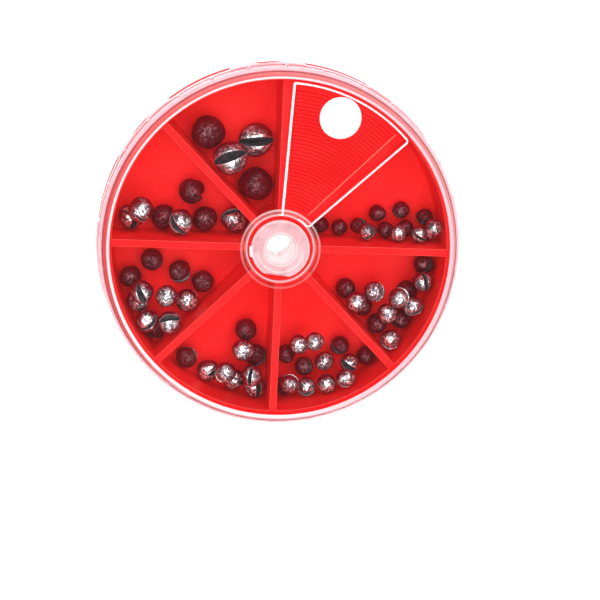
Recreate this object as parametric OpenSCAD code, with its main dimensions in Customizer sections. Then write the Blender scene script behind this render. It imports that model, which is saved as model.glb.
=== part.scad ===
// Round dispenser box of split-shot sinkers: a moulded tray with seven
// compartments and one blank deck, a clear lid that turns on a hollow snap pin
// until its window stands over a compartment, and the lead shots themselves.
// The box lies on its foot: the origin is the middle of the foot, +Z is up,
// and the deck with the hang hole lies between 45 and 90 degrees.

/* [Box] */
// Diameter over the lid's lower band
box_d = 70; // [68:0.5:76]
// Room between the highest shot and the tops of the tray's walls
pile_room = 0.3; // [0.2:0.05:3]
// Gap between the wall tops and the underside of the lid
lid_gap = 0.3; // [0.2:0.05:0.6]
// Gap between the tray's rim and the inside of the lid's skirt
skirt_gap = 0.25; // [0.15:0.05:0.4]

/* [Tray] */
// Thickness of the floor
floor_t = 1.3; // [0.8:0.1:1.8]
// Thickness of the rim wall inside the lid
rim_t = 1.1; // [0.8:0.1:1.4]
// Height of the rim wall above the ledge
rim_h = 5.4; // [5.2:0.1:6]
// Thickness of the walls between the compartments
divider_t = 1.4; // [1:0.1:1.6]
// Number of equal sectors, one of which is the deck
sectors = 8; // [8:1:8]
// Diameter of the post in the middle
hub_d = 12.4; // [12:0.1:13]
// Width of the flat land round the raised tip of the post
post_land = 0.3; // [0.2:0.1:0.6]
// How far the side under the ledge stands in from the lid's lower band
side_in = 0.8; // [0.6:0.1:1.2]
// How far the foot stands in from the side
foot_in = 0.8; // [0.4:0.1:1.2]
// Radius of the rounding round the foot
foot_round = 0.8; // [0.4:0.1:1.2]
// Height of the ledge that the skirt turns over
ledge_h = 2.2; // [1.4:0.1:2.6]
// Bevel along the upper edge of the ledge
ledge_bevel = 0.3; // [0.1:0.1:0.5]
// Number of grip flutes round the side
flutes = 30; // [20:1:36]
// Radius of a flute
flute_r = 1.6; // [1.2:0.1:2]
// Depth of a flute under the ledge
flute_depth = 0.4; // [0.2:0.05:0.6]
// Depth of the snap recess in the foot of the post
recess_h = 4.6; // [3.6:0.1:5]
// Diameter of the snap recess
recess_d = 9.8; // [9.4:0.1:10.4]

/* [Deck] */
// Thickness of the deck plate
deck_t = 1.2; // [0.8:0.1:1.6]
// Diameter of the hang hole
hole_d = 8; // [6:0.25:8.5]
// Plate left between the hang hole and the rim wall
hole_edge = 0.8; // [0.6:0.1:1.6]
// Spacing of the arc ribs on the deck
rib_pitch = 0.7; // [0.6:0.05:2]
// Height of an arc rib above the grooves beside it
rib_h = 0.3; // [0.2:0.05:0.4]
// Plain margin round the ribbed field
rib_margin = 0.5; // [0.4:0.1:1.4]

/* [Lid] */
// Thickness of the lid's plate
plate_t = 1.1; // [0.9:0.1:1.6]
// Thickness of the lid's skirt
skirt_t = 1.1; // [0.8:0.1:1.2]
// Width of the rounded shoulder
shoulder_w = 2.1; // [1.4:0.1:2.4]
// Drop of the rounded shoulder
shoulder_h = 1.6; // [1:0.1:2.4]
// Height of the lower band of the skirt
band_h = 1.9; // [1.2:0.1:2.2]
// Step from the skirt out to the band
band_step = 0.55; // [0.35:0.05:0.65]
// Width of the thicker lobe of the band on either side of a notch
lobe_w = 4.5; // [3:0.5:6]
// How far the band stands back between the lobes
lobe_h = 0.25; // [0.1:0.05:0.3]
// Gap between the ledge and the band's lower edge
band_gap = 0.3; // [0.2:0.05:0.5]
// Number of finger notches in the band
notches = 8; // [4:1:12]
// Width of a notch along its top
notch_w = 4; // [3:0.25:5]
// Flare of a notch on either side, down to the edge
notch_flare = 0.7; // [0.3:0.1:1]
// Height of a notch
notch_h = 1.7; // [1:0.1:1.8]
// Angle from the window's first edge to a notch
notch_turn = 8; // [0:0.5:45]
// Number of short grip ribs on the skirt
grips = 30; // [20:1:36]
// Radius of a grip rib
grip_r = 0.35; // [0.2:0.05:0.4]
// Height of a grip rib
grip_h = 2.2; // [1:0.1:2.2]
// Angle of the window's first edge
window_from = 43; // [40:0.5:45]
// Angle of the window's second edge
window_to = 87.2; // [84:0.1:90]
// Plate left between the bead and the window
window_lip = 0.3; // [0.2:0.1:1]
// Rim of plate left outside the window, to the skirt's outside
window_edge = 3.1; // [2.9:0.1:5]
// Width of the raised rib along the window's edges
frame_w = 0.5; // [0.3:0.05:0.8]
// Height of that rib above the plate
frame_h = 0.15; // [0.1:0.05:0.2]
// Outer diameter of the raised bead round the hub
bead_d = 15.4; // [15:0.1:17]
// Height of the bead above the plate
bead_h = 0.2; // [0.1:0.05:0.3]
// Width of the bead
bead_w = 0.5; // [0.3:0.05:0.6]
// Diameter of the well that the pin's head turns in
well_d = 12.8; // [12.2:0.1:13.4]
// Depth of the well
well_h = 0.6; // [0.3:0.05:0.6]

/* [Pin] */
// Diameter of the pin's shank
shank_d = 7.2; // [6.8:0.1:7.6]
// Diameter of the bore right through the pin
bore_d = 5.4; // [4.8:0.1:5.6]
// Diameter of the pin's head
head_d = 11.2; // [10:0.1:11.4]
// Thickness of the pin's head
head_t = 1; // [0.7:0.1:1.4]
// Lip of the countersink at the mouth of the bore
lip = 0.45; // [0.2:0.05:0.6]
// Outer diameter of the snap barb
barb_d = 8.5; // [8:0.1:9]
// Height of the snap barb
barb_h = 1; // [0.7:0.1:1.4]
// Width of the slots that let the snap flex
snap_slot = 0.8; // [0.5:0.1:1]
// Length of those slots
snap_l = 4.2; // [3:0.1:5]
// Running clearance between the pin and what it passes through
run_gap = 0.06; // [0.03:0.01:0.1]

/* [Shots] */
// Diameter of the shots in the 90 degree compartment
shot_a_d = 7.4; // [6.8:0.1:7.5]
// Diameter of the shots in the 135 degree compartment
shot_b_d = 5.5; // [5:0.1:5.5]
// Diameter of the shots in the 180 degree compartment
shot_c_d = 4.9; // [4.5:0.1:4.9]
// Diameter of the shots in the 225 degree compartment
shot_d_d = 4.8; // [4.4:0.1:4.8]
// Diameter of the shots in the 270 degree compartment
shot_e_d = 4.2; // [3.8:0.1:4.2]
// Diameter of the shots in the 315 degree compartment
shot_f_d = 4.5; // [4.1:0.1:4.5]
// Diameter of the shots in the 0 degree compartment
shot_g_d = 3.7; // [3.3:0.1:3.7]
// Full angle of the split in a shot
split_angle = 36; // [20:1:50]
// Depth of the split as a share of the shot's diameter
split_share = 0.56; // [0.4:0.02:0.65]
// Least gap round a shot
shot_gap = 0.08; // [0.05:0.01:0.15]

/* [Hidden] */
$fn = 96;
over = 0.5;                                  // overrun of every cut
step = 360 / sectors;                        // angle of one sector
deck_no = 1;                                 // the sector that holds the deck
band_r = box_d / 2;
skirt_r = band_r - band_step;
skirt_in_r = skirt_r - skirt_t;
rim_r = skirt_in_r - skirt_gap;
rim_in_r = rim_r - rim_t;
hub_r = hub_d / 2;
side_r = band_r - side_in;
foot_r = side_r - foot_in;
window_r = skirt_r - window_edge;
shank_r = shank_d / 2;
hole_at = rim_in_r - hole_edge - hole_d / 2; // radius of the hang hole's middle
deck_mid = (deck_no + 0.5) * step;

// Sizes of the shots, compartment by compartment, and the angle each starts at
shot_sizes = [shot_a_d, shot_b_d, shot_c_d, shot_d_d, shot_e_d, shot_f_d, shot_g_d];
shot_names = ["a", "b", "c", "d", "e", "f", "g"];
single_kinds = [0:4];                        // every shot of these is a node of its own
group_kinds = [5:6];                         // the two smallest lie in one node a kind

// Place of each shot in its compartment: share of the way from the post to the
// rim, and share of the way from the first wall to the second. A shot lies on
// the floor, or on the shots that stand before it in the list.
place_shares = [
    [[0.80, 1.00], [0.50, 0.05], [0.00, 0.20], [0.45, 1.00]],
    [[0.97, 1.00], [0.66, 1.00], [0.49, 0.28], [0.27, 1.00], [0.00, 0.86],
     [0.90, 0.85], [0.50, 1.00]],
    [[1.00, 0.32], [0.77, 0.13], [0.54, 0.43], [0.38, 0.95], [0.60, 1.00], [1.00, 0.60],
     [1.00, 1.00], [0.92, 0.47], [0.72, 0.64], [1.00, 0.82], [0.82, 1.00]],
    [[1.00, 0.13], [1.00, 0.43], [1.00, 0.74], [1.00, 1.00], [0.50, 0.76], [0.72, 1.00],
     [0.66, 0.76], [0.92, 0.60], [0.86, 0.94]],
    [[0.70, 0.00], [0.60, 0.22], [0.58, 0.50], [0.78, 0.82], [1.00, 1.00], [1.00, 0.00],
     [0.83, 0.25], [0.83, 0.53], [0.94, 0.80], [1.00, 0.24], [1.00, 0.46], [1.00, 0.68],
     [0.92, 0.04]],
    [[0.40, 0.03], [0.63, 0.03], [0.62, 0.38], [0.92, 0.58], [1.00, 0.93], [1.00, 0.24],
     [0.84, 0.00], [1.00, 0.76], [1.00, 0.00], [0.83, 0.22], [1.00, 0.46], [0.52, 0.02],
     [0.82, 0.50]],
    [[0.04, 0.15], [0.20, 0.00], [0.37, 0.08], [0.56, 0.28], [0.60, 0.00], [0.77, 0.26],
     [0.78, 0.03], [0.97, 0.14], [0.99, 0.00], [0.43, 0.00], [0.70, 0.00], [0.88, 0.00],
     [1.00, 0.10]],
];

// How each shot has come to lie: turned about its split, tipped along it, and
// turned on the floor. All zero looks straight up, with the split along X.
lie_turns = [
    [[150, 0, 40], [0, 0, 5], [165, 0, 20], [-12, 0, 22]],
    [[25, 0, 80], [100, 10, 30], [90, 80, 75], [140, 0, 60], [-55, 0, 15],
     [70, 60, 20], [35, 0, -50]],
    [[120, 0, 10], [75, 30, 100], [60, 20, 35], [110, 0, 150], [95, 0, 80], [130, 0, 45],
     [70, 20, -20], [10, 15, -65], [160, 0, 0], [25, 0, 40], [-40, 10, 5]],
    [[80, 0, 120], [35, 65, 50], [140, 0, 15], [20, 0, 95], [100, 0, 30], [60, 20, 70],
     [155, 0, 0], [75, 0, -40], [-15, 0, 85]],
    [[90, 0, 20], [60, 30, 100], [120, 0, 60], [45, 10, -30], [80, 0, 10], [150, 0, 0],
     [70, 40, 130], [110, 0, 45], [20, 0, -35], [40, 0, 15], [130, 0, 80], [65, 20, 0],
     [95, 0, 140]],
    [[70, 0, 30], [110, 0, -35], [55, 20, 80], [120, 0, 10], [30, 0, 60], [85, 30, 0],
     [140, 0, 50], [15, 0, 100], [60, 0, -20], [160, 0, 0], [40, 10, 35], [100, 0, 75],
     [75, 20, 120]],
    [[80, 0, 15], [120, 0, 60], [50, 0, 100], [95, 20, 0], [140, 0, 30], [60, 0, -40],
     [110, 0, 80], [35, 0, 10], [75, 0, 55], [30, 0, 40], [130, 0, 0], [20, 10, -25],
     [100, 0, 70]],
];

function node_name(kind, i) = str("shot_", shot_names[kind], i + 1);
function group_name(kind) = str("shots_", shot_names[kind]);

// Reach of a shot of radius r from the middle of a wall
function wall_reach(r) = divider_t / 2 + r + shot_gap;

// Plan position of a shot of radius r in the compartment of this kind
function plan(kind, r, shares) = let (
    nearest = max(hub_r + r + shot_gap, wall_reach(r) / sin(step / 2)),
    farthest = rim_in_r - r - shot_gap,
    out = nearest + shares[0] * (farthest - nearest),
    side = asin(wall_reach(r) / out),
    turn = (deck_no + 1 + kind) * step + side + shares[1] * (step - 2 * side)
) [out * cos(turn), out * sin(turn)];

// Height at which a shot of radius r at p comes to rest on those laid before it
function rest_z(p, r, laid) = let (near = 2 * r + shot_gap) max([
    floor_t + r + shot_gap,
    for (q = laid) let (d = norm([p[0] - q[0], p[1] - q[1]]))
        if (d < near) q[2] + sqrt(near * near - d * d)
]);

// Middles of a compartment's shots, laid one after another
function lay(kind, r, laid = []) = len(laid) == len(place_shares[kind]) ? laid :
    let (p = plan(kind, r, place_shares[kind][len(laid)]))
    lay(kind, r, concat(laid, [[p[0], p[1], rest_z(p, r, laid)]]));

kinds = [0:len(shot_sizes) - 1];
shot_middles = [for (kind = kinds) lay(kind, shot_sizes[kind] / 2)];

// Heights, which follow from the highest shot
pile_top = max([for (kind = kinds) for (middle = shot_middles[kind]) middle[2] + shot_sizes[kind] / 2]);
tray_h = pile_top + pile_room;               // tops of the tray's walls
ledge_top = tray_h - rim_h;
ledge_z = ledge_top - ledge_h;
plate_z = tray_h + lid_gap;                  // underside of the lid's plate
lid_top = plate_z + plate_t;
band_z = ledge_top + band_gap;               // lower edge of the skirt
well_z = lid_top - well_h;                   // floor of the well
post_rise = lid_gap - run_gap;               // how far the post stands above the walls

// Ring sector from angle a to angle b, between radii r1 and r2, from z1 up to z2
module ring_sector(a, b, r1, r2, z1, z2) {
    rotate([0, 0, a]) rotate_extrude(angle = b - a)
        translate([r1, z1]) square([r2 - r1, z2 - z1]);
}

// Space of the compartment that starts at sector number i, between its walls
module compartment(i, z1, z2) {
    difference() {
        ring_sector(i * step, (i + 1) * step, hub_r, rim_in_r, z1, z2);
        for (j = [i, i + 1])
            rotate([0, 0, j * step]) translate([0, -divider_t / 2, z1 - over])
                cube([band_r, divider_t, z2 - z1 + 2 * over]);
    }
}

// Outline of the whole tray before its spaces: foot, tapered side, ledge, rim and post
module tray_outline() {
    polygon([
        [0, 0], [foot_r - foot_round, 0],
        for (a = [-75:15:0]) [foot_r - foot_round * (1 - cos(a)), foot_round * (1 + sin(a))],
        [side_r, ledge_z], [band_r - ledge_bevel, ledge_z],
        [band_r - ledge_bevel / 2, ledge_z + ledge_bevel / 2],
        [band_r - ledge_bevel / 2, ledge_top - ledge_bevel],
        [band_r - ledge_bevel * 3 / 2, ledge_top], [rim_r, ledge_top], [rim_r, tray_h],
        [hub_r - post_land, tray_h], [hub_r - post_land - post_rise, tray_h + post_rise],
        [0, tray_h + post_rise],
    ]);
}

// Grooves that leave concentric ribs standing on the deck, kept off its margins
module deck_grooves() {
    from_r = bead_d / 2 + rib_margin;
    to_r = hole_at + hole_d / 2 - rib_margin;
    edge = divider_t / 2 + rib_margin;
    intersection() {
        rotate([0, 0, deck_no * step]) rotate_extrude(angle = step)
            for (r = [from_r:rib_pitch:to_r]) translate([r, tray_h - rib_h])
                square([rib_pitch / 2, rib_h + over]);
        rotate([0, 0, deck_no * step]) translate([0, edge, 0]) cube([band_r, band_r, lid_top]);
        rotate([0, 0, (deck_no + 1) * step]) mirror([0, 1, 0]) translate([0, edge, 0])
            cube([band_r, band_r, lid_top]);
    }
}

module tray() {
    color("red") difference() {
        rotate_extrude() tray_outline();
        for (i = [0:sectors - 1])
            if (i == deck_no) compartment(i, -over, tray_h - deck_t);
            else compartment(i, floor_t, tray_h + over);
        deck_grooves();
        rotate([0, 0, deck_mid]) translate([hole_at, 0, tray_h - deck_t - over])
            cylinder(d = hole_d, h = deck_t + 2 * over);
        translate([0, 0, -over]) cylinder(r = shank_r + run_gap, h = plate_z + 2 * over);
        translate([0, 0, -over]) cylinder(d = recess_d, h = recess_h + over);
        for (i = [0:flutes - 1]) rotate([0, 0, i * 360 / flutes])
            translate([side_r + flute_r - flute_depth, 0, foot_round])
                cylinder(r = flute_r, h = ledge_z - foot_round);
    }
}

// Outline of the lid: plate with bead and well, round shoulder, skirt and band
module lid_outline() {
    bead_r = bead_d / 2;
    well_r = well_d / 2;
    shoulder_r = skirt_r - shoulder_w;
    polygon([
        [0, plate_z], [skirt_in_r, plate_z], [skirt_in_r, band_z + band_h],
        [skirt_in_r + band_step / 2, band_z + band_h - band_step], [skirt_in_r + band_step / 2, band_z],
        [band_r, band_z], [band_r, band_z + band_h - band_step / 2],
        [band_r - band_step / 2, band_z + band_h], [skirt_r, band_z + band_h],
        for (a = [0:10:90])
            [shoulder_r + shoulder_w * cos(a), lid_top - shoulder_h * (1 - sin(a))],
        [bead_r, lid_top], [bead_r - bead_w / 4, lid_top + bead_h],
        [bead_r - bead_w * 3 / 4, lid_top + bead_h], [bead_r - bead_w, lid_top],
        [well_r, lid_top - well_h / 2], [well_r, well_z], [0, well_z],
    ]);
}

// Raised rib along the edges of the window
module window_frame() {
    from_r = well_d / 2 + bead_w / 2;
    base = lid_top - frame_h;
    for (edge = [0, 1]) rotate([0, 0, edge == 0 ? window_from : window_to]) mirror([0, 1 - edge, 0])
        translate([from_r, 0, base]) cube([window_r + frame_w - from_r, frame_w, 2 * frame_h]);
    ring_sector(window_from, window_to, window_r, window_r + frame_w, base, lid_top + frame_h);
}

// Stretch of the band between two pairs of lobes, where it stands back
module band_relief() {
    lobe = (notch_w / 2 + notch_flare + lobe_w) / band_r * 180 / PI;
    ring_sector(lobe, 360 / notches - lobe, band_r - lobe_h, band_r + over,
        band_z - over, band_z + band_h + over);
}

// Finger notch through the band, wider at its lower edge
module notch() {
    rotate([90, 0, 90]) linear_extrude(band_step + skirt_t + 2 * over)
        polygon([
            [-notch_w / 2 - notch_flare, band_z - over], [notch_w / 2 + notch_flare, band_z - over],
            [notch_w / 2 + notch_flare, band_z + notch_h / 6],
            [notch_w / 2 + notch_flare / 4, band_z + notch_h * 2 / 3],
            [notch_w / 2 - notch_flare / 2, band_z + notch_h],
            [-notch_w / 2 + notch_flare / 2, band_z + notch_h],
            [-notch_w / 2 - notch_flare / 4, band_z + notch_h * 2 / 3],
            [-notch_w / 2 - notch_flare, band_z + notch_h / 6],
        ]);
}

module lid() {
    color("lightcyan", 0.4) difference() {
        union() {
            rotate_extrude() lid_outline();
            for (i = [0:grips - 1]) rotate([0, 0, (i + 0.5) * 360 / grips])
                translate([skirt_r, 0, band_z + band_h - band_step / 2]) cylinder(r = grip_r, h = grip_h);
            window_frame();
        }
        ring_sector(window_from, window_to, bead_d / 2 + window_lip, window_r,
            plate_z - over, lid_top + over);
        for (i = [0:notches - 1]) rotate([0, 0, window_from + notch_turn + i * 360 / notches]) {
            translate([skirt_in_r - over, 0, 0]) notch();
            band_relief();
        }
        translate([0, 0, plate_z - over]) cylinder(r = shank_r + run_gap, h = plate_t + 2 * over);
    }
}

// Outline of the pin: countersunk head, shank and snap barb round the bore
module pin_outline() {
    bore_r = bore_d / 2;
    head_r = head_d / 2;
    barb_r = barb_d / 2;
    head_z = well_z + run_gap;
    barb_z = recess_h - run_gap;
    polygon([
        [bore_r, barb_z - barb_h], [shank_r, barb_z - barb_h],
        [barb_r, barb_z - barb_h / 3], [barb_r, barb_z], [shank_r, barb_z],
        [shank_r, head_z], [head_r, head_z], [head_r, head_z + head_t * 2 / 3],
        [head_r - head_t / 3, head_z + head_t], [bore_r + lip, head_z + head_t],
        [bore_r, head_z + head_t - lip],
    ]);
}

module hub_pin() {
    color("white") difference() {
        rotate_extrude() pin_outline();
        for (a = [0, 90]) rotate([0, 0, a])
            translate([-barb_d, -snap_slot / 2, recess_h - run_gap - barb_h - over])
                cube([2 * barb_d, snap_slot, snap_l + over]);
    }
}

// One shot of radius r: a ball with a wedge-shaped split that runs past its middle
module split_shot(r) {
    depth = 2 * r * split_share;
    mouth = (depth + over) * tan(split_angle / 2);
    difference() {
        sphere(r = r, $fn = 48);
        translate([-r - over, 0, 0]) rotate([90, 0, 90]) linear_extrude(2 * (r + over))
            polygon([[0, r - depth], [mouth, r + over], [-mouth, r + over]]);
    }
}

module laid_shot(kind, i) {
    color("dimgray") translate(shot_middles[kind][i]) rotate(lie_turns[kind][i])
        split_shot(shot_sizes[kind] / 2);
}

tray();
lid();
hub_pin();
for (kind = single_kinds) for (i = [0:len(place_shares[kind]) - 1])
    laid_shot(kind, i);
for (kind = group_kinds) for (i = [0:len(place_shares[kind]) - 1]) laid_shot(kind, i);
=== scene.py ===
import math
import bmesh
import bpy
import numpy as np
from mathutils import Matrix, Vector


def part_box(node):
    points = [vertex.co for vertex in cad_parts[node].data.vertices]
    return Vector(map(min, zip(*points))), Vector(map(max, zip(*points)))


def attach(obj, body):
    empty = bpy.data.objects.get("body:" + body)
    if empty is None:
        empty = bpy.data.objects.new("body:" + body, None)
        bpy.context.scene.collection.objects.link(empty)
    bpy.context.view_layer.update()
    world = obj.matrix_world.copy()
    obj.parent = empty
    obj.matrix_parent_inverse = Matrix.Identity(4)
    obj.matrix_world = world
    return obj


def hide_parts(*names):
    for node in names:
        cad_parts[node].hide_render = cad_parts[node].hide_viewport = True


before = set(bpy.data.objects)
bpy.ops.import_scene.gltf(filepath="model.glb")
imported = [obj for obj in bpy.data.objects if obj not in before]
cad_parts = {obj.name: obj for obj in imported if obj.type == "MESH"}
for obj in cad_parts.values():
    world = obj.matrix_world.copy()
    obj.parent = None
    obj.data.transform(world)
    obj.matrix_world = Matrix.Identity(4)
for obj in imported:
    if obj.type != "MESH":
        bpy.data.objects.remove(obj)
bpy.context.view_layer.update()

# A millimetre in metres, and how far a cutter reaches past what it cuts, in millimetres
MM = 0.001
OVER = 1.0

# Sizes of the tray in millimetres, as its solid has them; heights follow its own box
SECTORS = 8
DECK_SECTOR = 1
SECTOR_TURN = math.tau / SECTORS
WALL_T = 1.4
HUB_R = 6.2
RIM_IN_R = 32.0
RIM_R = 33.1
SIDE_R = 34.2
FOOT_R = 33.4
FOOT_ROUND = 0.8
LEDGE_R = 34.85
BORE_R = 3.66
RECESS_R = 4.9
RECESS_H = 4.6
FLOOR_Z = 1.3
DECK_T = 1.2
RIM_H = 5.4
LEDGE_T = 2.2
POST_RISE = 0.24
POST_LAND = 0.3
WALL_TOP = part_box("tray")[1].z / MM - POST_RISE
POST_TOP = WALL_TOP + POST_RISE
LEDGE_TOP = WALL_TOP - RIM_H
LEDGE_Z = LEDGE_TOP - LEDGE_T
SIDE_TAPER = (SIDE_R - FOOT_R) / (LEDGE_Z - FOOT_ROUND)
EDGE_ROUND = 0.12
EDGE_SOFT = 0.15
FILLET = 0.3
FLUTES = 30
FLUTE_R = 1.6
FLUTE_DEPTH = 0.4
SIDE_HEIGHTS = np.linspace(5.5, 1.3, 8)
UNDER_RADII = [26, 20, 14, 10]

# The deck: its hang hole, its field of arc ribs and the bead beside the field's first edge
HOLE_R = 4.0
HOLE_AT = 27.2
RIB_PITCH = 0.7
RIB_H = 0.3
RIB_SHARES = (0.0, 0.09, 0.42, 0.51)
FIELD_FROM = 8.2
FIELD_TO = HOLE_AT + HOLE_R - 0.5
FIELD_EDGE = WALL_T / 2 + 0.5
FIELD_SLOPE = 0.05
DECK_BEAD_H = 0.1
DECK_BEAD = (FIELD_EDGE - 0.32, FIELD_EDGE - 0.25, FIELD_EDGE - 0.07, FIELD_EDGE)

# Sizes of the lid
LID_GAP = 0.3
PLATE_T = 1.1
PLATE_RADII = (9, 13, 17, 21, 25, 29, 31, 32)
PLATE_UNDER_RADII = (28, 20, 12)
PLATE_Z = WALL_TOP + LID_GAP
LID_TOP = PLATE_Z + PLATE_T
WELL_R = 6.4
WELL_Z = LID_TOP - 0.6
WELL_SIDE_Z = LID_TOP - 0.34
BEAD_R = 7.45
BEAD_HALF = 0.25
BEAD_H = 0.2
SHOULDER_R = 32.35
SHOULDER_W = 2.1
SHOULDER_H = 1.6
SKIRT_R = 34.45
SKIRT_IN_R = 33.35
BAND_R = 35.0
BAND_H = 1.9
BAND_Z = LEDGE_TOP + LID_GAP
BAND_TOP = BAND_Z + BAND_H
BAND_STEP = 0.55
GRIPS = 30
GRIP_R = 0.35
GRIP_TOP = BAND_TOP - BAND_STEP / 2 + 2.2

# The window in the plate: its edges' angles, the radii of its arcs, and of its corner at each edge
WINDOW_FROM = math.radians(43)
WINDOW_TO = math.radians(87.2)
WINDOW_IN_R = 8.0
WINDOW_R = 31.35
FIRST_CORNER_R = 0.35
SECOND_CORNER_R = 0.05
INNER_ARC_STEPS = 24
OUTER_ARC_STEPS = 60

# The finger notches through the band, and the thicker lobes beside them
NOTCHES = 8
NOTCH_FROM = WINDOW_FROM + math.radians(8)
NOTCH_W = 4.0
NOTCH_FLARE = 0.7
NOTCH_H = 1.7
LOBE_W = 4.5
LOBE_H = 0.25

# Sizes of the snap pin
PIN_HEAD_R = 5.6
PIN_HEAD_T = 1.0
PIN_HEAD_Z = WELL_Z + 0.06
PIN_LIP = 0.45
DISH_R = 3.75
DISH_DEPTH = 0.07
PIN_BORE_R = 2.7
SHANK_R = 3.6
BARB_R = 4.25
BARB_H = 1.0
BARB_Z = 4.54
SNAP_SLOT = 0.8
SNAP_L = 2.7


class Wire:
    """A shader value. Arithmetic on it adds the Math nodes that work it out."""

    def __init__(self, finish, socket):
        self.finish = finish
        self.socket = socket

    def math(self, operation, *values):
        return self.finish.node("ShaderNodeMath", {"operation": operation}, dict(enumerate(values)))

    def __add__(self, other):
        return self.math("ADD", self, other)

    def __sub__(self, other):
        return self.math("SUBTRACT", self, other)

    def __mul__(self, other):
        return self.math("MULTIPLY", self, other)

    def __truediv__(self, other):
        return self.math("DIVIDE", self, other)

    def __abs__(self):
        return self.math("ABSOLUTE", self)

    def __radd__(self, other):
        return self.math("ADD", other, self)

    def __rsub__(self, other):
        return self.math("SUBTRACT", other, self)

    def __rmul__(self, other):
        return self.math("MULTIPLY", other, self)

    def __rtruediv__(self, other):
        return self.math("DIVIDE", other, self)

    def __pow__(self, other):
        return self.math("POWER", self, other)

    def __rpow__(self, other):
        return self.math("POWER", other, self)


class Finish:
    """A material under way: its nodes are added one by one, and each gives back a Wire."""

    def __init__(self, name, **constants):
        self.material = bpy.data.materials.new(name)
        self.material.use_nodes = True
        self.tree = self.material.node_tree
        self.shader = self.tree.nodes["Principled BSDF"]
        for socket, value in constants.items():
            self.shader.inputs[socket.replace("_", " ")].default_value = value

    def node(self, kind, settings=None, inputs=None, output=0):
        """A node of this kind, with its settings, and the values or wires of its sockets."""
        made = self.tree.nodes.new(kind)
        for name, value in (settings or {}).items():
            setattr(made, name, value)
        for socket, value in (inputs or {}).items():
            if isinstance(value, Wire):
                self.tree.links.new(value.socket, made.inputs[socket])
            else:
                made.inputs[socket].default_value = value
        return Wire(self, made.outputs[output])

    def place(self):
        """Position on the object in millimetres: x, y, z and the distance from the hub's axis."""
        spot = self.node("ShaderNodeTexCoord", output=3)
        x, y, z = (self.node("ShaderNodeSeparateXYZ", None, {0: spot}, k) / MM for k in range(3))
        return x, y, z, (x * x + y * y) ** 0.5

    def noise(self, scale, detail=3.0, rough=0.55, warp=0.0):
        """Noise with this many features a millimetre."""
        spot = self.node("ShaderNodeTexCoord", output=3)
        millimetres = self.node("ShaderNodeVectorMath", {"operation": "SCALE"}, {0: spot, 3: 1 / MM})
        return self.node("ShaderNodeTexNoise", None,
                         {"Vector": millimetres, "Scale": scale, "Detail": detail,
                          "Roughness": rough, "Distortion": warp})

    def ramp(self, value, low, high, to_low=0.0, to_high=1.0):
        """Smooth step of a value from low to high, or down from high to low where low is the larger."""
        return self.node("ShaderNodeMapRange", {"interpolation_type": "SMOOTHSTEP"},
                         {0: value, 1: low, 2: high, 3: to_low, 4: to_high})

    def strip(self, value, start, full, last, end):
        """One where a value lies from full to last, fading out to start and to end."""
        return self.ramp(value, start, full) * self.ramp(value, end, last)

    def blend(self, share, first, second):
        """Colour between two colours."""
        return self.node("ShaderNodeMix", {"data_type": "RGBA"}, {0: share, 6: first, 7: second}, 2)

    def bump(self, height, depth):
        """Normal from a height of this depth in millimetres."""
        return self.node("ShaderNodeBump", None, {"Height": height, "Distance": depth * MM, "Strength": 1.0})

    def feed(self, **wires):
        """Leads wires to the shader's sockets and gives back the material."""
        for socket, wire in wires.items():
            self.tree.links.new(wire.socket, self.shader.inputs[socket.replace("_", " ")])
        return self.material


def colour(red, green, blue):
    """Screen colour from 0 to 255 as the linear colour that a shader takes."""
    shares = [v / 255 for v in (red, green, blue)]
    linear = [v / 12.92 if v < 0.043 else ((v + 0.055) / 1.055) ** 2.4 for v in shares]
    return (*linear, 1.0)


def red_plastic():
    """Red moulding: painted shade in the deck's grooves and down its side; painted light on arrises, bead and
    ledge.
    """
    finish = Finish("tray red", Specular_IOR_Level=0.05)
    cloud = finish.noise(0.12, detail=2.0)
    grain = finish.noise(2.2, detail=4.0, rough=0.6)
    *_, z, radius = finish.place()
    above = z - WALL_TOP
    # Painted shade: darker colour down in the deck's grooves, where shade would fall
    groove = finish.strip(above, -0.6, -0.4, -RIB_H * 0.7, -0.03)
    # Painted highlight: a pale line along the bead beside the deck's field
    bead = finish.ramp(above, 0.04, 0.09) * finish.ramp(radius, FIELD_FROM - 0.8, FIELD_FROM)
    # Painted highlight: a pale line along the rounded top edges of walls and rim
    arris_highlight = finish.strip(above, -0.13, -0.1, -0.03, -0.005)
    depth = FOOT_R + (z - FOOT_ROUND) * SIDE_TAPER - radius
    below = finish.ramp(z, LEDGE_Z + 0.05, LEDGE_Z - 0.1)
    # Painted shade: the side below the ledge made darker, and darker still inside its flutes
    side = finish.ramp(depth, 1.0, 0.7) * below
    flute = finish.strip(depth, 0.02, 0.3, 0.7, 1.0) * below
    # Painted light: the ledge's upward face made paler, as if lit from above
    ledge = finish.strip(z, LEDGE_Z - 0.02, LEDGE_Z + 0.02, LEDGE_TOP, LEDGE_TOP + 0.1)
    ledge = ledge * finish.ramp(radius, SIDE_R - 0.3, SIDE_R - 0.1)
    tone = finish.blend(finish.ramp(cloud, 0.35, 0.7), colour(246, 24, 28), colour(252, 34, 36))
    tone = finish.blend(groove * 0.7, tone, colour(204, 8, 16))
    tone = finish.blend(bead * 0.7, tone, colour(255, 118, 104))
    tone = finish.blend(arris_highlight * 0.55, tone, colour(255, 120, 108))
    tone = finish.blend(side * 0.85, tone, colour(186, 14, 22))
    tone = finish.blend(flute * 0.8, tone, colour(140, 2, 10))
    tone = finish.blend(ledge * 0.15, tone, colour(255, 92, 84))
    return finish.feed(Base_Color=tone, Roughness=finish.ramp(grain, 0.3, 0.75, 0.34, 0.46),
                       Normal=finish.bump(grain, 0.01))


# The look of the lid's rim, from inside out: painted highlight ring, clear gap, painted shade line, milky
# shoulder
RING_R = 32.25
LINE_R = 33.65
MILK_R = 33.85


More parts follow.
